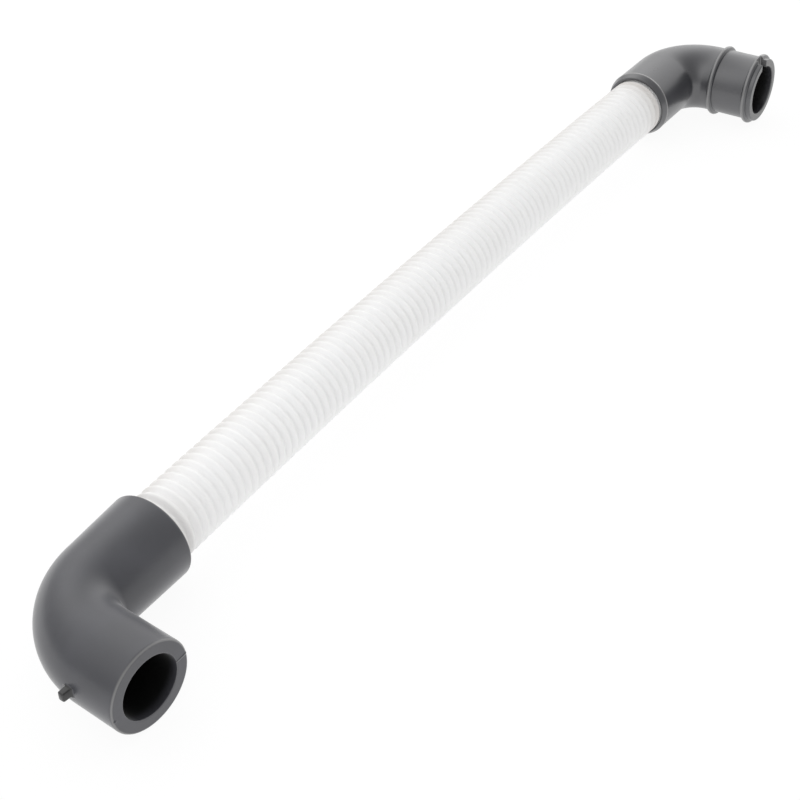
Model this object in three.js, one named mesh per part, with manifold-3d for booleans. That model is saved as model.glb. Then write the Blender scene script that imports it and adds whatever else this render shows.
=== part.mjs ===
// Sump hose of a washing machine: a corrugated plastic hose with a moulded rubber elbow on each end.
// Millimetres, +Z up. The hose runs along X, and both elbows turn to -Y, where their mouths are.
// The origin is on the ground, under the middle of the whole.

import * as THREE from 'three';
import { mergeVertices, toCreasedNormals } from 'three/addons/utils/BufferGeometryUtils.js';
import Module from 'manifold-3d';

const wasm = await Module();
wasm.setup();

// The corrugated hose
const hoseDiameter = 25;
const hoseLength = 367.1;
const hoseWall = 0.8;
const ringDepth = 1.6;
const ringPitch = 3.7;
const bowRadius = 7150;

// The fit of the hose in both elbows: it is closer in the plain one, and lies low in the ribbed one
const plainFitGap = 0.3;
const ribbedFitGap = 0.7;
const ribbedRaised = 0.3;
const ribbedSetBack = 0.15;
const shoulderGap = 0.3;
const socketDepth = 20;
const ringRunIn = 4;

// The plain elbow, with its thick wall
const plainCuffWall = 2.15;
const plainMouthWall = 4.5;
const plainTurn = 84.4;
const plainBendRadius = 24.5;
const plainCrotchRadius = 2.2;
const plainNeck = 2.5;
const plainMouthLeg = 17.5;
const plainCuffFlare = 0.8;
const plainCuffEdge = 1;
const plainMouthEdge = 0.6;

// The square peg on the plain elbow's outer side
const pegLength = 2.3;
const pegWidth = 3.2;
const pegHeight = 2.5;
const pegFromMouth = 17.3;
const pegRise = 2;

// The ribbed elbow, with its clamp seat between two ribs
const ribbedCuffWall = 1.3;
const ribbedMouthWall = 3.3;
const ribbedTurn = 87.9;
const ribbedTilt = 0.4;
const ribbedBendRadius = 18.9;
const ribbedCrotchRadius = 3.5;
const ribbedNeck = 3.2;
const noseLength = 2.8;
const noseDrop = 1;
const seatDrop = 0.4;
const bendToRib = 3.4;
const seatLength = 16.5;
const lipLength = 3.2;
const lipEdge = 0.5;
const ribWidth = 2.6;
const ribHeight = 1.5;

// The notch through the ribbed elbow's lip
const notchWidth = 4.6;
const notchLean = 3.5;

// How finely round things are divided
const hoseSides = 16;
const hoseBoreSides = 10;
const elbowSides = 28;
const bendSteps = 10;
const edgeSteps = 3;
const ribSteps = 5;

// The angle past which an edge is drawn crisp
const creaseAngle = 35;

// How deep a joined shape is sunk, and how far a cut runs past what it cuts
const overlap = 1;

const UP = new THREE.Vector3(0, 0, 1);
const radians = THREE.MathUtils.degToRad;

const crestRadius = hoseDiameter / 2;
const spigotLength = socketDepth - shoulderGap - ringRunIn;

const rubber = (name) => new THREE.MeshStandardMaterial({ name, color: 0x6d6e70, roughness: 0.62, metalness: 0 });
const milkyPlastic = new THREE.MeshStandardMaterial({
  name: 'milky_plastic', color: 0xe9e9e6, roughness: 0.45, metalness: 0,
});

// A closed geometry as a solid for cutting and joining
function toSolid(geometry) {
  const bare = geometry.clone();
  bare.deleteAttribute('normal');
  bare.deleteAttribute('uv');
  const merged = mergeVertices(bare, 1e-4);
  return new wasm.Manifold(new wasm.Mesh({
    numProp: 3,
    vertProperties: new Float32Array(merged.attributes.position.array),
    triVerts: new Uint32Array(merged.index.array),
  }));
}

// A solid as a geometry again
function toGeometry(solid) {
  const { vertProperties, triVerts } = solid.getMesh();
  const geometry = new THREE.BufferGeometry();
  geometry.setAttribute('position', new THREE.BufferAttribute(vertProperties, 3));
  geometry.setIndex(new THREE.BufferAttribute(triVerts, 1));
  return geometry;
}

// A named mesh with smooth rounds and crisp edges
function mesh(name, geometry, material) {
  const piece = new THREE.Mesh(toCreasedNormals(geometry, radians(creaseAngle)), material);
  piece.name = name;
  return piece;
}

// Moves every vertex of a geometry that was turned about Y to place(station, sideways, upwards)
function remap(geometry, place) {
  const position = geometry.attributes.position;
  const vertex = new THREE.Vector3();
  for (let i = 0; i < position.count; i += 1) {
    vertex.fromBufferAttribute(position, i);
    vertex.copy(place(vertex.y, vertex.x, -vertex.z));
    position.setXYZ(i, vertex.x, vertex.y, vertex.z);
  }
  return geometry;
}

// Points on a quarter round from one station and radius to another. The bulge is at the corner
// that lies at the first point's radius where 'first' is true, and at its station where it isn't.
function quarterRound(from, to, first, steps = edgeSteps) {
  const points = [];
  for (let i = 0; i <= steps; i += 1) {
    const angle = (Math.PI / 2) * (i / steps);
    const along = first ? Math.sin(angle) : 1 - Math.cos(angle);
    const across = first ? 1 - Math.cos(angle) : Math.sin(angle);
    points.push([from[0] + (to[0] - from[0]) * along, from[1] + (to[1] - from[1]) * across]);
  }
  return points;
}

// A rounded rib around a leg, from its near foot to its far one
function rib(crest, footRadius) {
  const points = [];
  for (let i = 0; i <= ribSteps; i += 1) {
    const angle = Math.PI * (i / ribSteps);
    const station = crest - (ribWidth / 2) * Math.cos(angle);
    points.push([station, footRadius + ribHeight * Math.sin(angle)]);
  }
  return points;
}

// Turns an outline of [station, radius] points about the axis
function turned(outline, sides) {
  const points = outline.map(([station, radius]) => new THREE.Vector2(radius, station));
  return new THREE.LatheGeometry(points, sides);
}

// The hose: rings outside and in, a plain spigot at each end, bent to a slight bow
function corrugatedHose() {
  const ringed = hoseLength - 2 * spigotLength;
  const ringCount = Math.round(ringed / ringPitch);
  const halfPitch = ringed / ringCount / 2;
  const waves = [];
  for (let i = 0; i <= 2 * ringCount; i += 1) {
    const station = -ringed / 2 + i * halfPitch;
    waves.push([station, i % 2 === 0 ? 0 : ringDepth]);
  }
  const end = hoseLength / 2;
  const skin = waves.map(([station, depth]) => [station, crestRadius - depth]);
  const bore = waves.map(([station, depth]) => [station, crestRadius - hoseWall - depth]);
  const outside = turned([[-end, 0], [-end, crestRadius], ...skin, [end, crestRadius], [end, 0]], hoseSides);
  const past = end + overlap;
  const boreEnd = crestRadius - hoseWall;
  const inside = turned([[-past, 0], [-past, boreEnd], ...bore, [past, boreEnd], [past, 0]], hoseBoreSides);
  const straight = toGeometry(toSolid(outside).subtract(toSolid(inside)));
  return remap(straight, (station, sideways, upwards) => {
    const angle = station / bowRadius;
    const reach = bowRadius + sideways;
    return new THREE.Vector3(reach * Math.sin(angle), reach * Math.cos(angle) - bowRadius, upwards);
  });
}

// The path of an elbow in its own frame: its corner is the origin, the cuff leaves along +X and the
// mouth leg turns off towards -Y. The outside of the bend follows one arc and the crotch another.
// A station is a distance from the corner, negative on the cuff's side.
function elbowPath({ radius, turn, bendRadius, crotchRadius }) {
  const half = turn / 2;
  const halfBend = Math.max(bendRadius, radius + crotchRadius) * Math.tan(half);
  const inward = (angle) => new THREE.Vector3(Math.sin(angle), -Math.cos(angle), 0);
  const mouthAxis = new THREE.Vector3(-Math.cos(turn), -Math.sin(turn), 0);
  const crotchCentre = inward(half).multiplyScalar((radius + crotchRadius) / Math.cos(half));
  const outerCentre = inward(half).multiplyScalar(bendRadius / Math.cos(half));

  function section(station) {
    if (station < -halfBend) {
      return { centre: new THREE.Vector3(-station, 0, 0), reach: inward(0) };
    }
    if (station > halfBend) {
      return { centre: mouthAxis.clone().multiplyScalar(station), reach: inward(turn) };
    }
    const normal = inward(half * (1 + station / halfBend));
    const crotch = crotchCentre.clone().addScaledVector(normal, -crotchRadius);
    const outer = outerCentre.clone().addScaledVector(normal, -(bendRadius + radius));
    return {
      centre: crotch.clone().add(outer).multiplyScalar(0.5),
      reach: crotch.sub(outer).divideScalar(2 * radius),
    };
  }

  function place(station, sideways, upwards) {
    const { centre, reach } = section(station);
    return centre.addScaledVector(reach, sideways).addScaledVector(UP, upwards);
  }

  // Stations through the bend, with the radius going from one value to another
  function bend(fromRadius, toRadius) {
    return Array.from({ length: bendSteps + 1 }, (_, i) => {
      const share = i / bendSteps;
      return [halfBend * (2 * share - 1), THREE.MathUtils.lerp(fromRadius, toRadius, share)];
    });
  }

  return { halfBend, mouthAxis, mouthInward: inward(turn), place, bend };
}

// A box across the mouth leg of an elbow: its middle line points outwards, at an angle that turns
// from one direction to another, and it spans two radii and two stations
function crossBox(path, { from, towards, angle, radii, stations, width }) {
  const outward = from.clone().multiplyScalar(Math.cos(angle)).addScaledVector(towards, Math.sin(angle));
  const sideways = new THREE.Vector3().crossVectors(outward, path.mouthAxis);
  const box = new THREE.BoxGeometry(radii[1] - radii[0], stations[1] - stations[0], width);
  box.translate((radii[0] + radii[1]) / 2, (stations[0] + stations[1]) / 2, 0);
  return box.applyMatrix4(new THREE.Matrix4().makeBasis(outward, path.mouthAxis, sideways));
}

// What every elbow has behind its mouth: the bore round the bend, the shoulder and the socket
function elbowInside(path, boreRadius, socketRadius, cuffEnd) {
  const shoulder = -cuffEnd + socketDepth;
  return [
    ...path.bend(boreRadius, boreRadius).reverse(),
    [shoulder, boreRadius],
    [shoulder, socketRadius],
    [-cuffEnd, socketRadius],
  ];
}

// The thick elbow with a round-edged cuff, a flat mouth face and the peg
function plainElbow() {
  const socketRadius = crestRadius + plainFitGap;
  const radius = socketRadius + plainCuffWall;
  const path = elbowPath({
    radius,
    turn: radians(plainTurn),
    bendRadius: plainBendRadius,
    crotchRadius: plainCrotchRadius,
  });
  const cuffEnd = path.halfBend + plainNeck + socketDepth;
  const cuffRadius = radius + plainCuffFlare;
  const mouth = path.halfBend + plainMouthLeg;
  const boreRadius = radius - plainMouthWall;
  const inside = elbowInside(path, boreRadius, socketRadius, cuffEnd);
  const outline = [
    inside.at(-1),
    ...quarterRound([-cuffEnd, cuffRadius - plainCuffEdge], [-cuffEnd + plainCuffEdge, cuffRadius], false),
    ...path.bend(radius, radius),
    ...quarterRound([mouth - plainMouthEdge, radius], [mouth, radius - plainMouthEdge], true),
    [mouth, boreRadius],
    ...inside,
  ];
  const body = toSolid(remap(turned(outline, elbowSides), path.place));
  const pegAt = mouth - pegFromMouth;
  const peg = crossBox(path, {
    from: path.mouthInward.clone().negate(),
    towards: UP,
    angle: radians(pegRise),
    radii: [radius - overlap, radius + pegHeight],
    stations: [pegAt - pegLength / 2, pegAt + pegLength / 2],
    width: pegWidth,
  });
  return { geometry: toGeometry(body.add(toSolid(peg))), shoulder: cuffEnd - socketDepth };
}

// The thinner elbow with a bevelled cuff end, two ribs that keep a clamp on its seat, and a notch
function ribbedElbow() {
  const socketRadius = crestRadius + ribbedFitGap;
  const radius = socketRadius + ribbedCuffWall;
  const seatRadius = radius - seatDrop;
  const path = elbowPath({
    radius,
    turn: radians(ribbedTurn),
    bendRadius: ribbedBendRadius,
    crotchRadius: ribbedCrotchRadius,
  });
  const cuffEnd = path.halfBend + ribbedNeck + socketDepth;
  const innerRib = path.halfBend + bendToRib;
  const outerRib = innerRib + seatLength;
  const mouth = outerRib + lipLength;
  const boreRadius = seatRadius - ribbedMouthWall;
  const inside = elbowInside(path, boreRadius, socketRadius, cuffEnd);
  const outline = [
    inside.at(-1),
    [-cuffEnd, radius - noseDrop],
    [-cuffEnd + noseLength, radius],
    ...path.bend(radius, seatRadius),
    ...rib(innerRib, seatRadius),
    ...rib(outerRib, seatRadius),
    ...quarterRound([mouth - lipEdge, seatRadius], [mouth, seatRadius - lipEdge], true),
    [mouth, boreRadius],
    ...inside,
  ];
  const body = toSolid(remap(turned(outline, elbowSides), path.place));
  // This elbow is turned over when it is placed, so the notch that ends up on top is made below
  const notch = crossBox(path, {
    from: UP.clone().negate(),
    towards: path.mouthInward,
    angle: radians(notchLean),
    radii: [boreRadius - overlap, seatRadius + ribHeight + overlap],
    stations: [outerRib, mouth + overlap],
    width: notchWidth,
  });
  return { geometry: toGeometry(body.subtract(toSolid(notch))), shoulder: cuffEnd - socketDepth };
}

// The place of one end of the hose: side is -1 at the left end and 1 at the right one
function hoseEnd(side) {
  const angle = hoseLength / 2 / bowRadius;
  const end = new THREE.Group();
  end.position.set(side * bowRadius * Math.sin(angle), bowRadius * Math.cos(angle) - bowRadius, 0);
  end.rotation.z = -side * angle;
  return end;
}

const plain = plainElbow();
const plainPiece = mesh('plain_elbow', plain.geometry, rubber('grey_rubber_plain'));
plainPiece.position.x = -(plain.shoulder + shoulderGap);
const leftEnd = hoseEnd(-1).add(plainPiece);

// The ribbed elbow is turned over, and tilts up a little about the middle of its socket
const ribbed = ribbedElbow();
const ribbedPiece = mesh('ribbed_elbow', ribbed.geometry, rubber('grey_rubber_ribbed'));
ribbedPiece.position.x = ribbed.shoulder + socketDepth / 2;
ribbedPiece.rotation.y = Math.PI;
const tilt = new THREE.Group().add(ribbedPiece);
tilt.position.set(shoulderGap - socketDepth / 2, ribbedSetBack, ribbedRaised);
tilt.rotation.y = -radians(ribbedTilt);
const rightEnd = hoseEnd(1).add(tilt);

const assembly = new THREE.Group();
assembly.add(mesh('corrugated_hose', corrugatedHose(), milkyPlastic), leftEnd, rightEnd);

// The whole is set down on the ground with its middle over the origin
const extent = new THREE.Box3().setFromObject(assembly, true);
const middle = extent.getCenter(new THREE.Vector3());
assembly.position.set(-middle.x, -middle.y, -extent.min.z);

const sumpHose = new THREE.Group();
sumpHose.add(assembly);

export default sumpHose;
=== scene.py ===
# %% [markdown]
# # A sump hose for a washing machine
#
# The real part is a white corrugated plastic hose with a dark rubber elbow pushed onto each end.
# All its looks come from four things: the rings of the hose, the soft sheen of moulded rubber, the
# small marks that a mould leaves, and very even light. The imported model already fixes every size
# and place, so this lesson only dresses it: each plain solid is replaced by a finer mesh of the
# same form, and each finish is mixed from shader nodes.

# %% Load the frame
import math

import bmesh
import bpy
from mathutils import Matrix, Vector


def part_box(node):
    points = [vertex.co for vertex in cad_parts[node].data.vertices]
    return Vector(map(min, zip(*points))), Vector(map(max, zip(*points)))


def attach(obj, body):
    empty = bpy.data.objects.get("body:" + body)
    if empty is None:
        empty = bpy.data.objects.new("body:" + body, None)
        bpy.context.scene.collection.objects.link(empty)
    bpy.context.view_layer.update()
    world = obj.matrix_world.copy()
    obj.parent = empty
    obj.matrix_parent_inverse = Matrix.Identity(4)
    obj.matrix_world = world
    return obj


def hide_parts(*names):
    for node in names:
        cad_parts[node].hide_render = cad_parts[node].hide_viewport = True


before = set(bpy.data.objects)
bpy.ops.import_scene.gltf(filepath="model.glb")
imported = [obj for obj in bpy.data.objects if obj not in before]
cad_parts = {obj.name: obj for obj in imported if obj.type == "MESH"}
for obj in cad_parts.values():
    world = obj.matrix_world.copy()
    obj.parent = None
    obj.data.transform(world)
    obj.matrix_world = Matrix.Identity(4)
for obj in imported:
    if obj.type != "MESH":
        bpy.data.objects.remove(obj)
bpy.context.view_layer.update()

BODY = "root"
MM = 0.001

# %% [markdown]
# ## The camera
#
# A product photo like this one is taken with a fairly long lens from above one end, so that the
# near elbow looks half as big again as the far one. The lens, the spot and the slight roll decide
# all proportions in the picture, so they come before any surface. A camera looks down its own
# -Z axis: the turn that points that axis at a target is asked of Blender, and the roll is added.

# %% Place the camera
CAMERA_SPOT = Vector((-403.6, -256.8, 346.2)) * MM
CAMERA_TARGET = Vector((-63.6, -14.6, 15.7)) * MM
CAMERA_ROLL = math.radians(-2.44)
CAMERA_LENS = 69.57


def photo_camera():
    data = bpy.data.cameras.new("photo_camera")
    data.lens = CAMERA_LENS
    data.clip_start = 10 * MM
    camera = bpy.data.objects.new("photo_camera", data)
    aim = (CAMERA_TARGET - CAMERA_SPOT).to_track_quat("-Z", "Y").to_matrix().to_4x4()
    camera.matrix_world = Matrix.Translation(CAMERA_SPOT) @ aim @ Matrix.Rotation(CAMERA_ROLL, 4, "Z")
    bpy.context.collection.objects.link(camera)
    bpy.context.scene.camera = camera


photo_camera()
print("The camera stands", round((CAMERA_TARGET - CAMERA_SPOT).length / MM), "mm from what it looks at")

# %% [markdown]
# ## Sizes
#
# Lengths are in millimetres and turned into metres when a vertex is made. They are the sizes that
# the part was designed with. Where the part lies isn't typed in again: the box of the hose in the
# frame gives the height of its axis, the top of its bow and both of its ends.

# %% Sizes of the hose and both elbows
HOSE_RADIUS = 12.5
HOSE_LENGTH = 367.1
HOSE_WALL = 0.8
RING_DEPTH = 1.6
RING_PITCH = 3.7
BOW_RADIUS = 7150
SOCKET_DEPTH = 20
SHOULDER_GAP = 0.3
RING_RUN_IN = 4
SPIGOT_LENGTH = SOCKET_DEPTH - SHOULDER_GAP - RING_RUN_IN

hose_low, hose_high = [[value / MM for value in corner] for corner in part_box("corrugated_hose")]
HOSE_MIDDLE = Vector((
    (hose_low[0] + hose_high[0]) / 2,
    hose_high[1] - HOSE_RADIUS,
    (hose_low[2] + hose_high[2]) / 2,
))


def hose_end(side):
    """The turned place of one end of the bowed hose: side is -1 at the left and 1 at the right."""
    angle = HOSE_LENGTH / 2 / BOW_RADIUS
    spot = Vector((side * BOW_RADIUS * math.sin(angle), BOW_RADIUS * (math.cos(angle) - 1), 0))
    return Matrix.Translation(HOSE_MIDDLE + spot) @ Matrix.Rotation(-side * angle, 4, "Z")


print("Middle of the hose's axis, in mm:", [round(value, 2) for value in HOSE_MIDDLE])

# %% [markdown]
# ## Turned outlines
#
# Both elbows and the hose are round in section all the way, so one idea makes all three: an
# outline of (station, radius) points is drawn once, turned about an axis, and then that axis is
# bent. A station is the distance along the axis. Blender's Screw modifier can turn an outline,
# but bending it afterwards would squash the inside of a tight elbow. Placing every vertex with
# a function keeps the section round, and lets small moulding marks be raised on the way.
#
# Real edges are never sharp. A corner of the outline is a point with a fillet radius, and the
# helper puts a short arc in its place, which is what catches the light along a rim.

# %% Outlines with rounded corners
FILLET_STEPS = 5


def fillet(before, corner, after, radius, steps=FILLET_STEPS):
    """Points of the arc that rounds a corner between two straight stretches."""
    corner = Vector(corner)
    back = (Vector(before) - corner).normalized()
    ahead = (Vector(after) - corner).normalized()
    half = back.angle(ahead) / 2
    reach = radius / math.tan(half)
    centre = corner + (back + ahead).normalized() * (radius / math.sin(half))
    start = corner + back * reach - centre
    sweep = start.angle_signed(corner + ahead * reach - centre)
    arc = []
    for step in range(steps + 1):
        turn = Matrix.Rotation(-sweep * step / steps, 2)
        arc.append(tuple(centre + turn @ start))
    return arc


def rounded(corners):
    """A closed outline from (station, radius, fillet) corners. A fillet of 0 keeps the point."""
    points = []
    for index, (station, radius, round_radius) in enumerate(corners):
        if round_radius:
            before = corners[index - 1][:2]
            after = corners[(index + 1) % len(corners)][:2]
            points += fillet(before, (station, radius), after, round_radius)
        else:
            points.append((station, radius))
    return points


def between(first, last, parts):
    """Points that cut a straight stretch into equal parts, without its ends, so that no face is long."""
    first, last = Vector(first), Vector(last)
    return [(*first.lerp(last, step / parts), 0) for step in range(1, parts)]


# %% Turn an outline into a mesh
def even_angles(count):
    return [2 * math.pi * index / count for index in range(count)]


def angles_with_marks(count, marks, width):
    """Even angles, with three close ones at each mark so that a thin line can be raised there."""
    angles = [a for a in even_angles(count) if all(abs(a - m) > 2 * width for m in marks)]
    for mark in marks:
        angles += [mark - width, mark, mark + width]
    return sorted(angles)


def normals_of(outline):
    """The outward direction at each point of a closed outline, in (station, radius)."""
    normals = []
    for index in range(len(outline)):
        along = Vector(outline[(index + 1) % len(outline)]) - Vector(outline[index - 1])
        normals.append(Vector((-along.y, along.x)).normalized())
    return normals


def no_mark(station, radius, angle):
    return 0


def turned(name, outline, angles, place, relief=no_mark, flash_and_painted_light=no_mark):
    """Turns a closed outline: place(station, sideways, upwards) says where each vertex goes.

    relief(station, radius, angle) raises the surface. The last function makes it paler above 0, for a pale
    flash and painted highlights, and darker below, for painted shade.
    """
    builder = bmesh.new()
    flash_and_painted_light_layer = builder.verts.layers.float.new("flash_and_painted_light")
    rings = []
    for (station, radius), normal in zip(outline, normals_of(outline)):
        ring = []
        for angle in angles:
            height = relief(station, radius, angle)
            at = station + normal.x * height
            out = radius + normal.y * height
            vertex = builder.verts.new(place(at, out * math.cos(angle), out * math.sin(angle)) * MM)
            vertex[flash_and_painted_light_layer] = flash_and_painted_light(station, radius, angle)
            ring.append(vertex)
        rings.append(ring)
    for near, far in zip(rings, rings[1:] + rings[:1]):
        for index in range(len(angles)):
            after = (index + 1) % len(angles)
            builder.faces.new((near[index], near[after], far[after], far[index]))
    bmesh.ops.recalc_face_normals(builder, faces=builder.faces)
    return finished(name, builder)


def finished(name, builder):
    """A smooth-shaded object from a bmesh."""
    for face in builder.faces:
        face.smooth = True
    mesh = bpy.data.meshes.new(name)
    builder.to_mesh(mesh)
    builder.free()
    piece = bpy.data.objects.new(name, mesh)
    bpy.context.collection.objects.link(piece)
    return piece


# %% [markdown]
# ## Marks and painted light that fade
#
# Rubber is pressed in a mould whose halves leave small marks where they meet: a hair-thin line
# across the face of a mouth, a pale wrinkle where the crotch folds. They are raised from the
# surface, and a number on each vertex tells the material where the piece is paler or darker. The
# same number carries painted light: painted highlights on rims, ridges, crests, the notch and one
# side of the line, and painted shade on its other side, in the bores and sockets, which no light
# reaches, on the peg and on the hose beside the cuffs. None of this starts or ends sharply, so two
# small functions say how much of it there is at a place. A point within ON_SURFACE of a surface
# counts as lying on it.

# %% Two functions for what fades along a surface
ON_SURFACE = 0.1
TINY = 1e-6


def window(value, middle, width):
    """1 at the middle, falling smoothly to 0 at a distance."""
    return math.exp(-((value - middle) / width) ** 2)


def rise(value, low, high):
    """A smooth step from 0 at low to 1 at high, and from 1 to 0 where low is the greater."""
    share = min(max((value - low) / (high - low), 0), 1)
    return share * share * (3 - 2 * share)


# %% [markdown]
# ## The corrugated hose
#
# The hose is blown into a mould of rings. Air presses the soft plastic outwards, so it never
# quite fills a sharp corner, and both crests and grooves come out round: a squared cosine has
# just that shape. The wall follows the rings inside as well, and the two ends are left plain
# where they sit in the elbows. The whole hose has a bow of a few millimetres, because such a
# hose is never quite straight.
#
# In the photo the rings show only beside the ribbed elbow. A render of grooves as deep as the
# solid's shows them far more clearly, and all along the hose. So the scene gives the grooves a
# share of that depth, which is the nearer likeness, and keeps the crests, the pitch and the bow.

# %% Build the hose
HOSE_SIDES = 80
RING_STEPS = 9
BORE_STEPS = 4
GROOVE_SHARE = 0.6
RING_SPAN = HOSE_LENGTH - 2 * SPIGOT_LENGTH
RING_COUNT = round(RING_SPAN / RING_PITCH)
# Painted shade on the hose: greyer next to the cuffs, where the rubber shades it, and along the upper back.
CUFF_SHADE_REACH = 9
CUFF_SHADE_START = 0.2
CUFF_SHADE_FULL = 1.2
LEFT_CUFF_SHADE = 0.52
RIGHT_CUFF_SHADE = 0.85
BACK_ANGLE = 38
BACK_WIDTH = 45
BACK_SHADE = 0.6


def ring_depth(share):
    """How deep the wall lies below a crest: share runs from 0 in one groove to 1 in the next."""
    return GROOVE_SHARE * RING_DEPTH * math.cos(math.pi * share) ** 2


def wavy_line(steps, crest):
    """Points along all the rings, from a groove to a groove."""
    points = []
    for index in range(RING_COUNT * steps + 1):
        station = -RING_SPAN / 2 + RING_SPAN * index / (RING_COUNT * steps)
        points.append((station, crest - ring_depth(index % steps / steps)))
    return points


def along_hose(station, sideways, upwards):
    angle = station / BOW_RADIUS
    reach = BOW_RADIUS + sideways
    bent = Vector((reach * math.sin(angle), reach * math.cos(angle) - BOW_RADIUS, upwards))
    return HOSE_MIDDLE + bent


def hose_painted_shade(station, radius, angle):
    """Painted shade: darker towards both cuffs, but not right at their edges, and along the upper back."""
    past_cuff = HOSE_LENGTH / 2 - SOCKET_DEPTH - abs(station)
    shade_by_cuff = rise(past_cuff, CUFF_SHADE_START, CUFF_SHADE_FULL)
    shade_by_cuff *= math.exp(-max(past_cuff, 0) / CUFF_SHADE_REACH)
    shade_by_cuff *= RIGHT_CUFF_SHADE if station > 0 else LEFT_CUFF_SHADE
    shade_on_back = BACK_SHADE * window(math.degrees(angle), BACK_ANGLE, BACK_WIDTH)
    return -max(shade_by_cuff, shade_on_back)


def corrugated_hose():
    end = HOSE_LENGTH / 2
    bore = HOSE_RADIUS - HOSE_WALL
    outline = [
        (-end, HOSE_RADIUS),
        *wavy_line(RING_STEPS, HOSE_RADIUS),
        (end, HOSE_RADIUS),
        (end, bore),
        *reversed(wavy_line(BORE_STEPS, bore)),
        (-end, bore),
    ]
    return turned("corrugated_hose_skin", outline, even_angles(HOSE_SIDES), along_hose, flash_and_painted_light=hose_painted_shade)


hose = corrugated_hose()
print("Hose:", RING_COUNT, "rings,", len(hose.data.polygons), "faces")

# %% [markdown]
# ## The path of an elbow
#
# A moulded elbow isn't a bent pipe. Its outside follows a wide arc, while the crotch inside is
# nearly a sharp corner, so each section through the bend is a slice from the crotch's arc to
# the outer one. The class below gives the middle of such a slice and how far it reaches to the
# side. The height of the section stays that of the pipe.

# %% The path of an elbow
class Elbow:
    """An elbow's own frame: the corner is the origin, the cuff leaves along +X, the mouth towards -Y."""

    def __init__(self, radius, turn, bend_radius, crotch_radius, spot):
        self.radius = radius
        self.half = math.radians(turn) / 2
        self.bend_radius = bend_radius
        self.crotch_radius = crotch_radius
        self.half_bend = max(bend_radius, radius + crotch_radius) * math.tan(self.half)
        self.spot = spot

    def inward(self, angle):
        return Vector((math.sin(angle), -math.cos(angle), 0))

    def mouth_axis(self):
        return Vector((-math.cos(2 * self.half), -math.sin(2 * self.half), 0))

    def section(self, station):
        """The centre of a section, and the vector from it to the pipe's wall on the crotch's side."""
        if station < -self.half_bend:
            return Vector((-station, 0, 0)), self.inward(0)
        if station > self.half_bend:
            return self.mouth_axis() * station, self.inward(2 * self.half)
        bisector = self.inward(self.half) / math.cos(self.half)
        normal = self.inward(self.half * (1 + station / self.half_bend))
        crotch = bisector * (self.radius + self.crotch_radius) - normal * self.crotch_radius
        outer = bisector * self.bend_radius - normal * (self.bend_radius + self.radius)
        return (crotch + outer) / 2, (crotch - outer) / (2 * self.radius)

    def place(self, station, sideways, upwards):
        centre, reach = self.section(station)
        return self.spot @ (centre + reach * sideways + Vector((0, 0, upwards)))

    def bend(self, steps, start, end):
        """Points through the bend, with the radius going from one value to another."""
        points = []
        for index in range(steps + 1):
            share = index / steps
            points.append((self.half_bend * (2 * share - 1), start + (end - start) * share, 0))
        return points


# %% [markdown]
# ## Blocks, cuts and soft edges
#
# The peg and the notch aren't round about the axis, so they are made as small blocks and joined
# or cut with the Boolean modifier. A block is a stack of rounded rectangles, so that it can be
# wider at its root, as moulded pegs are. A cut leaves knife edges, and no moulded rubber has
# those, so the sharp edges around it are bevelled afterwards.

# %% Make a block, join or cut it, and soften the edges
CORNER_STEPS = 5


def rounded_rectangle(half_length, half_width, corner):
    points = []
    for turn, (x, y) in enumerate(((1, 1), (-1, 1), (-1, -1), (1, -1))):
        for step in range(CORNER_STEPS + 1):
            angle = math.pi / 2 * (turn + step / CORNER_STEPS)
            points.append((
                x * (half_length - corner) + corner * math.cos(angle),
                y * (half_width - corner) + corner * math.sin(angle),
            ))
    return points


def block(name, frame_of_block, sections):
    """A stack of rounded rectangles: sections are (height, half length, half width, corner)."""
    builder = bmesh.new()
    loops = []
    for height, half_length, half_width, corner in sections:
        loops.append([
            builder.verts.new(frame_of_block @ Vector((along, across, height)) * MM)
            for along, across in rounded_rectangle(half_length, half_width, corner)
        ])
    for low, high in zip(loops, loops[1:]):
        for index in range(len(low)):
            after = (index + 1) % len(low)
            builder.faces.new((low[index], low[after], high[after], high[index]))
    builder.faces.new(reversed(loops[0]))
    builder.faces.new(loops[-1])
    bmesh.ops.recalc_face_normals(builder, faces=builder.faces)
    return finished(name, builder)


def across_leg(elbow, station, angle):
    """A frame on the mouth leg: X along the leg to the mouth, Z out at an angle from the crotch's side."""
    along = elbow.mouth_axis()
    out = elbow.inward(2 * elbow.half) * math.cos(angle) + Vector((0, 0, math.sin(angle)))
    turn = Matrix((along, out.cross(along), out)).transposed().to_4x4()
    return elbow.spot @ Matrix.Translation(along * station) @ turn


def combine(piece, tool, operation):
    """Joins a tool to a piece or cuts it out, and removes the tool."""
    modifier = piece.modifiers.new(operation.lower(), "BOOLEAN")
    modifier.operation = operation
    modifier.solver = "EXACT"
    modifier.object = tool
    bpy.context.view_layer.update()
    depsgraph = bpy.context.evaluated_depsgraph_get()
    old = piece.data
    piece.data = bpy.data.meshes.new_from_object(piece.evaluated_get(depsgraph))
    piece.modifiers.clear()
    bpy.data.meshes.remove(old)
    bpy.data.objects.remove(tool)


def paint_light_into_block(piece, frame_of_block, low, half_length, half_width, flash_and_painted_light):
    """Sets painted light on the vertices that lie in the space of a block, above its low end."""
    into_block = frame_of_block.inverted()
    for vertex, stored in zip(piece.data.vertices, piece.data.attributes["flash_and_painted_light"].data):
        along, across, height = into_block @ (vertex.co / MM)
        if height > low and abs(along) < half_length and abs(across) < half_width:
            stored.value = flash_and_painted_light


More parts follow.
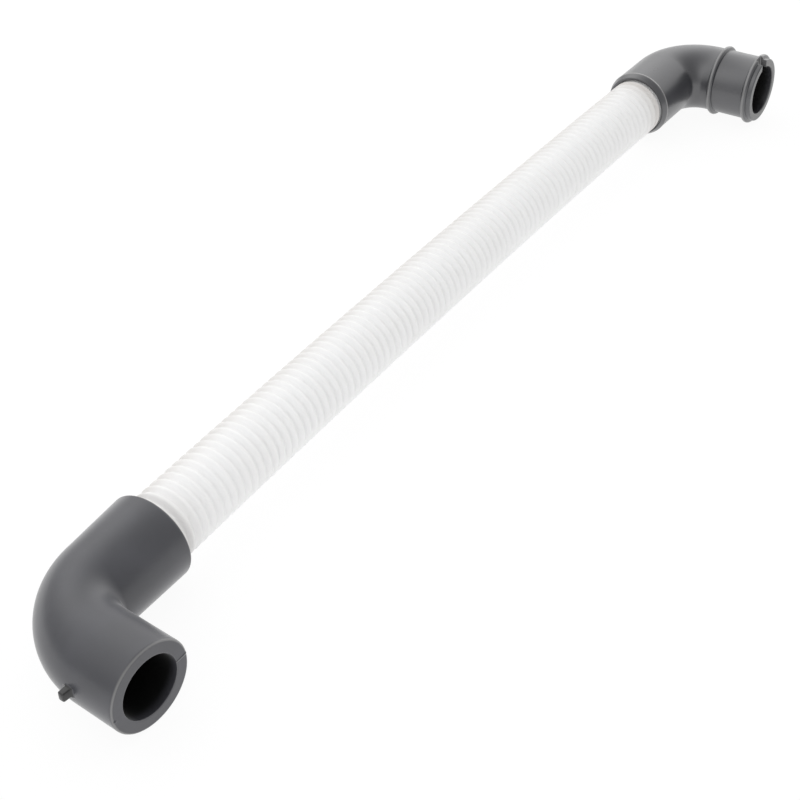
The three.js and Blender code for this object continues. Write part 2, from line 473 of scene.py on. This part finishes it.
def soften(piece, middle, reach, width, sharp=math.radians(50)):
    """Bevels the sharp edges that lie within reach of a point."""
    builder = bmesh.new()
    builder.from_mesh(piece.data)
    middle = middle * MM
    edges = [
        edge for edge in builder.edges
        if len(edge.link_faces) == 2 and edge.calc_face_angle() > sharp
        and all((vertex.co - middle).length < reach * MM for vertex in edge.verts)
    ]
    bmesh.ops.bevel(builder, geom=edges, offset=width * MM, segments=2, profile=0.5, affect="EDGES")
    for face in builder.faces:
        face.smooth = True
    builder.to_mesh(piece.data)
    builder.free()
    return len(edges)


# %% [markdown]
# ## The plain elbow
#
# The near elbow has a thick wall, a cuff that widens a little to its rounded end, and a flat
# mouth. The bore runs round the bend and steps out to the socket that holds the hose. A square
# peg stands on the outside of the mouth leg, and a tiny pip is left on the mouth's face. The peg
# is 0.6 mm taller than the solid's, which brings its end nearer to where the photo shows it.
#
# Joining a peg to a long thin face leaves a crease in the shading all along that face. So the
# leg and the face of the mouth get extra rows of points, which keep their faces short.

# %% Build the plain elbow
ELBOW_SIDES = 128
BEND_STEPS = 44
LEG_PARTS = 14
FACE_PARTS = 5
SMALL_FILLET = 0.3
BORE_FADE = 4

PLAIN_SOCKET = HOSE_RADIUS + 0.3
PLAIN_RADIUS = PLAIN_SOCKET + 2.15
PLAIN_BORE = PLAIN_RADIUS - 4.5
PLAIN_CUFF_RADIUS = PLAIN_RADIUS + 0.8
PLAIN_NECK = 2.5
PLAIN_MOUTH_LEG = 17.5
PLAIN_CUFF_EDGE = 1
PLAIN_SOCKET_EDGE = 0.35
PLAIN_RIM = 0.8
# Painted highlights where the rounded rims of the mouth catch the light.
OUTER_RIM_HIGHLIGHT = 0.6
INNER_RIM_HIGHLIGHT = 0.4

PLAIN_PARTING = math.radians(6)
LINE_WIDTH = math.radians(0.7)
LINE_HEIGHT = 0.14
# The thin line gets a painted highlight on one side and painted shade on the other.
LINE_LIT_SIDE = 0.5
LINE_SHADED_SIDE = -0.6
WRINKLE_LENGTH = 2
WRINKLE_BELOW = 30
WRINKLE_ABOVE = 28
WRINKLE_FULL = 18
WRINKLE_HEIGHT = 0.175
WRINKLE_TONE = 0.7


def plain_spot(neck_and_bend):
    return hose_end(-1) @ Matrix.Translation((-(neck_and_bend + SHOULDER_GAP), 0, 0))


plain = Elbow(PLAIN_RADIUS, turn=84.4, bend_radius=24.5, crotch_radius=2.2, spot=Matrix())
plain.spot = plain_spot(plain.half_bend + PLAIN_NECK)
PLAIN_CUFF_END = plain.half_bend + PLAIN_NECK + SOCKET_DEPTH
PLAIN_MOUTH = plain.half_bend + PLAIN_MOUTH_LEG


def on_plain_face(station, radius):
    return station > PLAIN_MOUTH - 2 * ON_SURFACE and radius > PLAIN_BORE + ON_SURFACE


def plain_wrinkle(station, angle):
    """How much of the crotch's wrinkle is here: it lies deep in the fold."""
    turn = math.degrees(angle if angle < math.pi else angle - 2 * math.pi)
    lower = rise(turn, -WRINKLE_BELOW, -WRINKLE_FULL)
    upper = rise(turn, WRINKLE_ABOVE, WRINKLE_FULL)
    return window(station, 0, WRINKLE_LENGTH) * lower * upper


def plain_relief(station, radius, angle):
    """The thin line on the face of the mouth and the wrinkle in the crotch."""
    if radius < PLAIN_BORE + ON_SURFACE:
        return 0
    on_line = on_plain_face(station, radius) and abs(angle - PLAIN_PARTING) < TINY
    line = LINE_HEIGHT if on_line else 0
    return line + WRINKLE_HEIGHT * plain_wrinkle(station, angle)


def plain_flash_and_painted_light(station, radius, angle):
    """Painted shade in the bore, a pale flash in the wrinkle and painted highlights along both rims.

    The line has a painted highlight on one side and painted shade on the other.
    """
    if radius < PLAIN_BORE + ON_SURFACE:
        return -rise(station, PLAIN_MOUTH - SMALL_FILLET, PLAIN_MOUTH - BORE_FADE)
    if on_plain_face(station, radius) and abs(angle - PLAIN_PARTING) < 1.5 * LINE_WIDTH:
        return LINE_LIT_SIDE if angle < PLAIN_PARTING - TINY else LINE_SHADED_SIDE
    at_mouth = rise(station, PLAIN_MOUTH - PLAIN_RIM, PLAIN_MOUTH - 0.3 * PLAIN_RIM)
    outer_rim = rise(radius, PLAIN_RADIUS - PLAIN_RIM, PLAIN_RADIUS - 0.5 * PLAIN_RIM)
    inner_rim = rise(radius, PLAIN_BORE + SMALL_FILLET, PLAIN_BORE + ON_SURFACE)
    rim_highlights = OUTER_RIM_HIGHLIGHT * outer_rim + INNER_RIM_HIGHLIGHT * inner_rim
    return WRINKLE_TONE * plain_wrinkle(station, angle) + at_mouth * rim_highlights


def plain_elbow():
    shoulder = -PLAIN_CUFF_END + SOCKET_DEPTH
    outline = rounded([
        (-PLAIN_CUFF_END, PLAIN_SOCKET, PLAIN_SOCKET_EDGE),
        (-PLAIN_CUFF_END, PLAIN_CUFF_RADIUS, PLAIN_CUFF_EDGE),
        *plain.bend(BEND_STEPS, PLAIN_RADIUS, PLAIN_RADIUS),
        *between((plain.half_bend, PLAIN_RADIUS), (PLAIN_MOUTH, PLAIN_RADIUS), LEG_PARTS),
        (PLAIN_MOUTH, PLAIN_RADIUS, PLAIN_RIM),
        *between((PLAIN_MOUTH, PLAIN_RADIUS), (PLAIN_MOUTH, PLAIN_BORE), FACE_PARTS),
        (PLAIN_MOUTH, PLAIN_BORE, SMALL_FILLET),
        (PLAIN_MOUTH - BORE_FADE, PLAIN_BORE, 0),
        *reversed(plain.bend(BEND_STEPS, PLAIN_BORE, PLAIN_BORE)),
        (shoulder, PLAIN_BORE, SMALL_FILLET),
        (shoulder, PLAIN_SOCKET, SMALL_FILLET),
    ])
    angles = angles_with_marks(ELBOW_SIDES, [PLAIN_PARTING], LINE_WIDTH)
    return turned("plain_elbow_skin", outline, angles, plain.place, plain_relief, plain_flash_and_painted_light)


plain_piece = plain_elbow()
print("Plain elbow:", len(plain_piece.data.polygons), "faces")

# %% Add the peg and the pip
PEG_LENGTH = 2.3
PEG_WIDTH = 3.2
PEG_HEIGHT = 3.1
PEG_CORNER = 0.45
PEG_FOOT = 0.5
PEG_STATION = PLAIN_MOUTH - 17.3
PEG_ANGLE = math.radians(178)
PIP_ANGLE = math.radians(186)
PIP_PLACE = 14.1
PIP_RADIUS = 0.4
PIP_FLATNESS = 0.6
JUST_ABOVE = 0.02
peg_frame = across_leg(plain, PEG_STATION, PEG_ANGLE)


def peg():
    """The square peg, with a small fillet at its root and soft upper edges."""
    widths = (
        (-1.2, 0.4), (0.05, 0.4), (0.2, 0.15), (0.5, 0.03),
        (PEG_HEIGHT - 0.5, 0), (PEG_HEIGHT - 0.18, -0.1), (PEG_HEIGHT, -0.35),
    )
    sections = [
        (PLAIN_RADIUS + height, PEG_LENGTH / 2 + wider, PEG_WIDTH / 2 + wider, PEG_CORNER)
        for height, wider in widths
    ]
    return block("peg", peg_frame, sections)


def pip():
    """A dot of rubber on the mouth's face, where the mould was vented."""
    spot = across_leg(plain, PLAIN_MOUTH, PIP_ANGLE) @ Matrix.Translation((0, 0, PIP_PLACE))
    builder = bmesh.new()
    bmesh.ops.create_uvsphere(builder, u_segments=14, v_segments=8, radius=PIP_RADIUS * MM)
    to_face = Matrix.Translation(spot.translation * MM) @ spot.to_quaternion().to_matrix().to_4x4()
    flat = Matrix.Diagonal((PIP_FLATNESS, 1, 1, 1))
    bmesh.ops.transform(builder, matrix=to_face @ flat, verts=builder.verts)
    return finished("pip", builder)


combine(plain_piece, peg(), "UNION")
combine(plain_piece, pip(), "UNION")
# Painted shade: the peg and the foot round it are made near black, for its shaded faces and the shadow at
# its root.
paint_light_into_block(
    plain_piece, peg_frame, low=PLAIN_RADIUS + JUST_ABOVE,
    half_length=PEG_LENGTH / 2 + PEG_FOOT, half_width=PEG_WIDTH / 2 + PEG_FOOT, flash_and_painted_light=-1,
)
print("Plain elbow with its peg and pip:", len(plain_piece.data.polygons), "faces")

# %% [markdown]
# ## The ribbed elbow
#
# The far elbow is thinner. A bevel leads the hose into its socket, and two raised ribs on the
# mouth leg keep a clamp in place. A notch through the lip takes a key on the spigot. This elbow
# points its own +X back along the hose, so it is turned half round before it is placed.
#
# Its socket is wider than the hose, but in the photo no dark gap shows all round. The rubber
# seems to close on the hose at its edge, and a low lip inside the socket's mouth does that here.

# %% Build the ribbed elbow
RIBBED_SOCKET = HOSE_RADIUS + 0.7
RIBBED_RADIUS = RIBBED_SOCKET + 1.3
SEAT_RADIUS = RIBBED_RADIUS - 0.4
RIBBED_BORE = SEAT_RADIUS - 3.3
RIBBED_NECK = 3.2
BEND_TO_RIB = 3.4
SEAT_LENGTH = 16.5
LIP_LENGTH = 3.2
RIBBED_RIM = 0.5
RIBBED_INNER_RIM = 0.4
RIBBED_FACE_PARTS = 4
RIBBED_TILT = math.radians(0.4)
RIBBED_OFFSET = Vector((0, 0.15, 0.3))

RIB_WIDTH = 2.6
RIB_HEIGHT = 1.5
RIB_FOOT = 0.15
RIB_STEPS = 10
# Painted highlight along the ribs' crests.
CREST_HIGHLIGHT = 0.5

NOSE_LENGTH = 2.8
NOSE_DROP = 1
NOSE_EDGE = 0.1
RIDGE_HEIGHT = 0.12
RIDGE_FRONT = 0.4
RIDGE_BACK = 0.5
# Painted highlight on the ridge behind the bevel, where it catches the light.
RIDGE_HIGHLIGHT = 0.9
RIDGE_HIGHLIGHT_WIDTH = 0.3

SOCKET_LIP_RADIUS = HOSE_RADIUS + 0.2
SOCKET_LIP_LENGTH = 1.2
SOCKET_LIP_SLOPE = 0.6
SOCKET_LIP_EDGE = 0.2
# Painted shade inside the socket's mouth.
SOCKET_SHADE_START = 0.4
SOCKET_SHADE_FULL = 1.6


def ribbed_spot(neck_and_bend):
    socket_middle = Matrix.Translation(RIBBED_OFFSET + Vector((SHOULDER_GAP - SOCKET_DEPTH / 2, 0, 0)))
    tilt = Matrix.Rotation(-RIBBED_TILT, 4, "Y")
    out = Matrix.Translation((neck_and_bend + SOCKET_DEPTH / 2, 0, 0))
    return hose_end(1) @ socket_middle @ tilt @ out @ Matrix.Rotation(math.pi, 4, "Y")


ribbed = Elbow(RIBBED_RADIUS, turn=87.9, bend_radius=18.9, crotch_radius=3.5, spot=Matrix())
ribbed.spot = ribbed_spot(ribbed.half_bend + RIBBED_NECK)
RIBBED_CUFF_END = ribbed.half_bend + RIBBED_NECK + SOCKET_DEPTH
INNER_RIB = ribbed.half_bend + BEND_TO_RIB
OUTER_RIB = INNER_RIB + SEAT_LENGTH
RIBBED_MOUTH = OUTER_RIB + LIP_LENGTH


def rib(crest):
    """A rounded rib around the mouth leg, with a small fillet at each foot."""
    points = []
    for index in range(RIB_STEPS + 1):
        angle = math.pi * index / RIB_STEPS
        station = crest - RIB_WIDTH / 2 * math.cos(angle)
        foot = RIB_FOOT if index in (0, RIB_STEPS) else 0
        points.append((station, SEAT_RADIUS + RIB_HEIGHT * math.sin(angle), foot))
    return points


def ribbed_place(station, sideways, upwards):
    """The lip at the socket's mouth lies close round the hose, which isn't in the socket's middle."""
    at_mouth = station < SOCKET_LIP_LENGTH + ON_SURFACE - RIBBED_CUFF_END
    if at_mouth and math.hypot(sideways, upwards) < RIBBED_SOCKET - ON_SURFACE:
        sideways += RIBBED_OFFSET.y
        upwards += RIBBED_OFFSET.z
    return ribbed.place(station, sideways, upwards)


def ribbed_painted_light(station, radius, angle):
    """Painted shade in bore and socket, painted highlights on the ridge behind the bevel and the ribs'
    crests.
    """
    into_socket = station + RIBBED_CUFF_END
    if radius < RIBBED_BORE + ON_SURFACE:
        return -rise(station, RIBBED_MOUTH, RIBBED_MOUTH - BORE_FADE)
    if radius < RIBBED_SOCKET + ON_SURFACE:
        return -rise(into_socket, SOCKET_SHADE_START, SOCKET_SHADE_FULL)
    ridge = window(into_socket, NOSE_LENGTH, RIDGE_HIGHLIGHT_WIDTH)
    crest = rise(radius, SEAT_RADIUS + 0.8 * RIB_HEIGHT, SEAT_RADIUS + RIB_HEIGHT)
    return RIDGE_HIGHLIGHT * ridge + CREST_HIGHLIGHT * crest


def ribbed_elbow():
    shoulder = -RIBBED_CUFF_END + SOCKET_DEPTH
    lip_end = -RIBBED_CUFF_END + SOCKET_LIP_LENGTH
    ridge = -RIBBED_CUFF_END + NOSE_LENGTH
    outline = rounded([
        (lip_end + SOCKET_LIP_SLOPE, RIBBED_SOCKET, 0),
        (lip_end, SOCKET_LIP_RADIUS, SOCKET_LIP_EDGE),
        (-RIBBED_CUFF_END, SOCKET_LIP_RADIUS, NOSE_EDGE),
        (-RIBBED_CUFF_END, RIBBED_RADIUS - NOSE_DROP, NOSE_EDGE),
        (ridge - RIDGE_FRONT, RIBBED_RADIUS - RIDGE_HEIGHT, NOSE_EDGE),
        (ridge, RIBBED_RADIUS + RIDGE_HEIGHT, RIDGE_HEIGHT),
        (ridge + RIDGE_BACK, RIBBED_RADIUS, NOSE_EDGE),
        *ribbed.bend(BEND_STEPS, RIBBED_RADIUS, SEAT_RADIUS),
        *rib(INNER_RIB),
        *rib(OUTER_RIB),
        (RIBBED_MOUTH, SEAT_RADIUS, RIBBED_RIM),
        *between((RIBBED_MOUTH, SEAT_RADIUS), (RIBBED_MOUTH, RIBBED_BORE), RIBBED_FACE_PARTS),
        (RIBBED_MOUTH, RIBBED_BORE, RIBBED_INNER_RIM),
        (RIBBED_MOUTH - BORE_FADE, RIBBED_BORE, 0),
        *reversed(ribbed.bend(BEND_STEPS, RIBBED_BORE, RIBBED_BORE)),
        (shoulder, RIBBED_BORE, SMALL_FILLET),
        (shoulder, RIBBED_SOCKET, SMALL_FILLET),
    ])
    return turned("ribbed_elbow_skin", outline, even_angles(ELBOW_SIDES), ribbed_place, flash_and_painted_light=ribbed_painted_light)


ribbed_piece = ribbed_elbow()
print("Ribbed elbow:", len(ribbed_piece.data.polygons), "faces")

# %% Cut the notch through the lip
NOTCH_WIDTH = 4.6
NOTCH_ANGLE = math.radians(-86.5)
NOTCH_CORNER = 0.5
NOTCH_PAST = 1.5
NOTCH_EDGE = 0.14
NOTCH_EDGE_REACH = 6
NOTCH_MARGIN = 0.2
NOTCH_HIGHLIGHT = 0.4
NOTCH_REACH = (RIBBED_MOUTH + NOTCH_PAST - OUTER_RIB) / 2
notch_frame = across_leg(ribbed, OUTER_RIB + NOTCH_REACH, NOTCH_ANGLE)


def notch():
    """What is cut away: from the outer rib's crest past the mouth, all through the wall."""
    size = (NOTCH_REACH, NOTCH_WIDTH / 2, NOTCH_CORNER)
    heights = (RIBBED_BORE - NOTCH_PAST, SEAT_RADIUS + RIB_HEIGHT + NOTCH_PAST)
    return block("notch", notch_frame, [(height, *size) for height in heights])


combine(ribbed_piece, notch(), "DIFFERENCE")
notch_spot = across_leg(ribbed, OUTER_RIB + LIP_LENGTH / 2, NOTCH_ANGLE) @ Vector((0, 0, SEAT_RADIUS))
softened = soften(ribbed_piece, notch_spot, NOTCH_EDGE_REACH, NOTCH_EDGE)
# Painted highlight on the walls inside the notch, which face the light.
paint_light_into_block(
    ribbed_piece, notch_frame, low=RIBBED_BORE - NOTCH_MARGIN,
    half_length=NOTCH_REACH + NOTCH_MARGIN, half_width=NOTCH_WIDTH / 2 + NOTCH_MARGIN, flash_and_painted_light=NOTCH_HIGHLIGHT,
)
print("Softened", softened, "edges of the notch")

# %% [markdown]
# ## How close the new meshes are to the solids
#
# Dressing a part mustn't change its size. Each mesh is measured against the box of the solid that
# it stands for: the numbers are how far its low and high ends lie from the solid's. All of them
# are a tenth of a millimetre or so at most, apart from the one that the taller peg makes.

# %% Measure the new meshes against the frame
PIECES = ((hose, "corrugated_hose"), (plain_piece, "plain_elbow"), (ribbed_piece, "ribbed_elbow"))

for piece, node in PIECES:
    low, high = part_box(node)
    own_low = [min(vertex.co[axis] for vertex in piece.data.vertices) for axis in range(3)]
    own_high = [max(vertex.co[axis] for vertex in piece.data.vertices) for axis in range(3)]
    print(node, "differs from its solid, in mm, by",
          [round((a - b) / MM, 2) for a, b in zip(own_low, low)],
          [round((a - b) / MM, 2) for a, b in zip(own_high, high)])

# %% [markdown]
# ## Shader maths as Python
#
# A finish is a small calculation on patterns. Writing it with nodes one by one hides the
# calculation, so one class wraps a socket and turns arithmetic on it into Math nodes. Any other
# node comes from a single method that takes its type, its settings and its inputs.

# %% Wrap a socket so that it can be calculated with
class Socket:
    """One output of a node. Arithmetic on it adds Math nodes to the same tree."""

    def __init__(self, tree, output):
        self.tree = tree
        self.output = output

    def node(self, kind, settings=None, inputs=None, output=0):
        """Adds a node: the settings first, then the values or links of its sockets."""
        new = self.tree.nodes.new(kind)
        for key, value in (settings or {}).items():
            setattr(new, key, value)
        for key, value in (inputs or {}).items():
            if isinstance(value, Socket):
                self.tree.links.new(value.output, new.inputs[key])
            else:
                new.inputs[key].default_value = value
        return Socket(self.tree, new.outputs[output])

    def maths(self, operation, first, second=0.0):
        return self.node("ShaderNodeMath", {"operation": operation}, {0: first, 1: second})

    def __add__(self, other):
        return self.maths("ADD", self, other)

    def __radd__(self, other):
        return self.maths("ADD", other, self)

    def __sub__(self, other):
        return self.maths("SUBTRACT", self, other)

    def __rsub__(self, other):
        return self.maths("SUBTRACT", other, self)

    def __mul__(self, other):
        return self.maths("MULTIPLY", self, other)

    def __rmul__(self, other):
        return self.maths("MULTIPLY", other, self)

    def times_e(self, factor):
        """e to the power of this value times a factor."""
        return self.maths("EXPONENT", self * factor)

    def smooth(self, low, high):
        """0 below low, 1 above high, and a smooth step between."""
        inputs = {"Value": self, "From Min": low, "From Max": high}
        return self.node("ShaderNodeMapRange", {"interpolation_type": "SMOOTHSTEP"}, inputs)

    def noise(self, scale, detail):
        """A noise pattern at this place, from about 0 to 1: scale is in cycles per metre."""
        return self.node("ShaderNodeTexNoise", None, {"Vector": self, "Scale": scale, "Detail": detail})

    def stored(self, name):
        """A number that was stored on each vertex of the mesh."""
        return self.node("ShaderNodeAttribute", {"attribute_name": name}, output="Fac")

    def blend(self, first, second):
        """Two colours mixed by this value."""
        inputs = {0: self, 6: first, 7: second}
        return self.node("ShaderNodeMix", {"data_type": "RGBA"}, inputs, output=2)


def start_material(name):
    """An empty material, with the place on the part as a socket and the surface shader."""
    material = bpy.data.materials.new(name)
    material.use_nodes = True
    tree = material.node_tree
    tree.nodes.clear()
    coordinates = tree.nodes.new("ShaderNodeTexCoord")
    shader = tree.nodes.new("ShaderNodeBsdfPrincipled")
    surface = tree.nodes.new("ShaderNodeOutputMaterial")
    tree.links.new(shader.outputs["BSDF"], surface.inputs["Surface"])
    return material, Socket(tree, coordinates.outputs["Object"]), shader


def connect(shader, name, value):
    shader.id_data.links.new(value.output, shader.inputs[name])


def grey(value, warmth=0.0):
    """A nearly neutral colour: warmth above 0 leans to yellow, below 0 to blue."""
    return (value * (1 + warmth), value, value * (1 - warmth), 1)


# %% [markdown]
# ## Moulded rubber
#
# Rubber with carbon in it is darker than it looks: most of what the eye sees is the soft sheen
# of its skin. So the base is a dark grey and the roughness does the work, a little uneven in
# broad patches where the skin lay against the mould. A fine grain breaks the sheen up, and
# faint pale bloom comes and goes over the surface as it does on any rubber that was stored.
#
# The two elbows look different in the photo, so each has a mix of its own. The ribbed one is
# smoother and mirrors the room more clearly, and the plain one has more of an even glow.

# %% Mix the rubber
PATCH_SCALE = 70
GRAIN_SCALE = 2600
GRAIN_DEPTH = 0.1 * MM
# The pale colour is for the wrinkle's flash and for painted highlights, the black for painted shade.
PALE_FLASH_AND_HIGHLIGHT = 0.3
PAINTED_SHADE_BLACK = 0.006


def slate(value):
    """The rubber's grey, which leans to blue."""
    return (0.97 * value, 0.99 * value, 1.18 * value, 1)


def rubber(name, shade, roughness, gloss, ior, sheen):
    """Gloss and ior say how strongly the skin mirrors the room, and sheen how much it glows along edges."""
    material, place, shader = start_material(name)
    patches = place.noise(PATCH_SCALE, detail=3)
    grain = place.noise(GRAIN_SCALE, detail=2)
    flash_and_painted_light = place.stored("flash_and_painted_light")
    bloom = patches.smooth(low=0.35, high=0.75)
    colour = bloom.blend(slate(shade * 0.9), slate(shade * 1.15))
    # Above 0 the colour goes pale, for the flash and painted highlights, and below 0 black, for painted
    # shade.
    colour = flash_and_painted_light.smooth(0, 1).blend(colour, grey(PALE_FLASH_AND_HIGHLIGHT, warmth=0.01))
    colour = (0 - flash_and_painted_light).smooth(0, 1).blend(colour, grey(PAINTED_SHADE_BLACK))
    connect(shader, "Base Color", colour)
    connect(shader, "Roughness", roughness + 0.1 * patches + 0.04 * grain)
    inputs = {"Strength": 0.12, "Distance": GRAIN_DEPTH, "Height": grain}
    connect(shader, "Normal", place.node("ShaderNodeBump", None, inputs))
    shader.inputs["IOR"].default_value = ior
    shader.inputs["Specular IOR Level"].default_value = gloss
    shader.inputs["Sheen Weight"].default_value = sheen
    shader.inputs["Sheen Roughness"].default_value = 0.3
    return material


plain_rubber = rubber("grey_rubber_plain", shade=0.051, roughness=0.28, gloss=0.76, ior=1.5, sheen=0.47)
ribbed_rubber = rubber("grey_rubber_ribbed", shade=0.032, roughness=0.23, gloss=1, ior=1.64, sheen=0.2)
print("The plain elbow's rubber:", len(plain_rubber.node_tree.nodes), "nodes")

# %% [markdown]
# ## Milky plastic
#
# The hose is so white that its grooves light each other: what one side doesn't send back at
# once, it sends to the other side, so the rings hardly shade themselves and only the wavy
# outline gives them away. That needs a colour close to white and next to no gloss. Light also
# spreads a little inside the thin wall. Next to the cuffs, where the rubber shades it, the plastic
# gets painted shade, greyer and a little warmer, and its upper back is painted a shade greyer
# too, so that it doesn't melt into the white room.

# %% Mix the milky plastic
CLOUD_SCALE = 40


def milky_plastic():
    material, place, shader = start_material("milky_plastic")
    clouds = place.noise(CLOUD_SCALE, detail=2)
    flash_and_painted_light = place.stored("flash_and_painted_light")
    colour = clouds.smooth(low=0.3, high=0.7).blend(grey(0.9, warmth=0.002), grey(0.915))
    # Painted shade: greyer and a little warmer beside the cuffs and on the upper back.
    colour = (0 - flash_and_painted_light).smooth(0, 1).blend(colour, grey(0.6, warmth=0.04))
    connect(shader, "Base Color", colour)
    connect(shader, "Roughness", 0.6 + 0.12 * clouds)
    shader.inputs["Specular IOR Level"].default_value = 0.1
    shader.inputs["Subsurface Weight"].default_value = 1
    shader.inputs["Subsurface Radius"].default_value = (1, 1, 1)
    shader.inputs["Subsurface Scale"].default_value = 0.4 * MM
    return material


hose_plastic = milky_plastic()
print("The hose's plastic:", len(hose_plastic.node_tree.nodes), "nodes")

# %% [markdown]
# ## Hand the pieces to the frame
#
# Each mesh takes its finish and rides on the part's one body, and the solid of the imported model
# that it stands for is hidden.

# %% Dress the pieces
DRESSING = (
    (hose, "corrugated_hose", "milky_plastic", hose_plastic),
    (plain_piece, "plain_elbow", "grey_rubber_plain", plain_rubber),
    (ribbed_piece, "ribbed_elbow", "grey_rubber_ribbed", ribbed_rubber),
)

for piece, node, slot, material in DRESSING:
    piece.data.materials.clear()
    piece.data.materials.append(material)
    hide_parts(node)
    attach(piece, BODY)

PATH_STEPS = 24
path = [
    along_hose(HOSE_LENGTH * (step / PATH_STEPS - 0.5), 0, 0) * MM
    for step in range(PATH_STEPS + 1)
]
cuff_mouth = along_hose(-HOSE_LENGTH / 2 + SOCKET_DEPTH, 0, 0) * MM

# %% [markdown]
# ## Light and floor
#
# Rubber shows its light as much as its own colour: each soft band along an elbow is the mirror
# image of something bright around it. The photo has no shadow, so nothing bright is small. The
# white room has a wide low glow at the right, as from a window, a higher one at the back, a
# paler one at the left and a faint one high between those two. In front at the right nothing
# glows, which leaves the dark band along the rubber that faces us.
#
# Area lamps would do, but each would show up as a rectangle in the sheen. A glow in the world
# that fades evenly from its middle is softer: its strength falls with the angle from the
# middle, as a power of e. The white sheet under the part glows too, as a lit table does, and
# more so behind the part, where the upper edges of the rubber mirror it.
#
# Light that suits dark rubber leaves the side of a white hose that faces us a little grey. One
# large soft lamp on the camera's side mends that, and light linking lets it reach the hose alone.

# %% Set up the studio
FLOOR_SIZE = 60
FLOOR_SHADE = 0.08
FLOOR_GLOW = 0.935
BACK_GLOW = 1.3
BACK_GLOW_START = 0.03
BACK_GLOW_FULL = 0.25
ROOM_LIGHT = 0.45
GLOW_SHARPNESS = 7.4
GLOWS = (
    {"azimuth": 0, "elevation": 12, "strength": 1.58},
    {"azimuth": 60, "elevation": 42, "strength": 1.25},
    {"azimuth": 180, "elevation": 40, "strength": 0.7},
    {"azimuth": 130, "elevation": 55, "strength": 0.55},
)
LAMP_AZIMUTH = 212
LAMP_ELEVATION = 34
LAMP_SIZE = 0.8
LAMP_REACH = 1.2
LAMP_WATTS = 2.25


def floor():
    """A plain sheet with a light of its own, brighter behind the part."""
    builder = bmesh.new()
    bmesh.ops.create_grid(builder, x_segments=1, y_segments=1, size=FLOOR_SIZE / 2)
    sheet = finished("floor", builder)
    material, place, shader = start_material("pale_floor")
    shader.inputs["Base Color"].default_value = grey(FLOOR_SHADE)
    shader.inputs["Roughness"].default_value = 0.9
    shader.inputs["Specular IOR Level"].default_value = 0
    depth = place.node("ShaderNodeSeparateXYZ", None, {0: place}, output="Y")
    behind = depth.smooth(BACK_GLOW_START, BACK_GLOW_FULL)
    connect(shader, "Emission Color", behind.blend(grey(FLOOR_GLOW), grey(BACK_GLOW)))
    shader.inputs["Emission Strength"].default_value = 1
    sheet.data.materials.append(material)


def towards(azimuth, elevation):
    """A direction: the azimuth turns from +X to +Y, in degrees, and the elevation is above the floor."""
    turn, lift = math.radians(azimuth), math.radians(elevation)
    return Vector((math.cos(lift) * math.cos(turn), math.cos(lift) * math.sin(turn), math.sin(lift)))


def glow(direction, azimuth, elevation, strength):
    """How bright one soft glow of the room is in a direction."""
    inputs = {0: direction, 1: towards(azimuth, elevation)}
    closeness = direction.node("ShaderNodeVectorMath", {"operation": "DOT_PRODUCT"}, inputs, output="Value")
    return strength * (closeness - 1).times_e(GLOW_SHARPNESS)


def bright_room():
    world = bpy.data.worlds.new("bright_room")
    world.use_nodes = True
    tree = world.node_tree
    direction = Socket(tree, tree.nodes.new("ShaderNodeTexCoord").outputs["Generated"])
    light = ROOM_LIGHT
    for soft_light in GLOWS:
        light = light + glow(direction, **soft_light)
    background = tree.nodes["Background"]
    background.inputs["Color"].default_value = grey(1)
    tree.links.new(light.output, background.inputs["Strength"])
    bpy.context.scene.world = world


def hose_lamp():
    """A large soft lamp from the camera's side that lights the hose alone."""
    data = bpy.data.lights.new("hose_lamp", "AREA")
    data.shape = "DISK"
    data.size = LAMP_SIZE
    data.energy = LAMP_WATTS
    lamp = bpy.data.objects.new("hose_lamp", data)
    way = towards(LAMP_AZIMUTH, LAMP_ELEVATION)
    aim = way.to_track_quat("Z", "Y").to_matrix().to_4x4()
    lamp.matrix_world = Matrix.Translation(way * LAMP_REACH) @ aim
    bpy.context.collection.objects.link(lamp)
    lit = bpy.data.collections.new("lit_by_hose_lamp")
    lit.objects.link(hose)
    lamp.light_linking.receiver_collection = lit


floor()
bright_room()
hose_lamp()
print("Light:", len(GLOWS), "glows in the room, the floor's own and a lamp for the hose")
bpy.context.scene.view_settings.view_transform = "Standard"
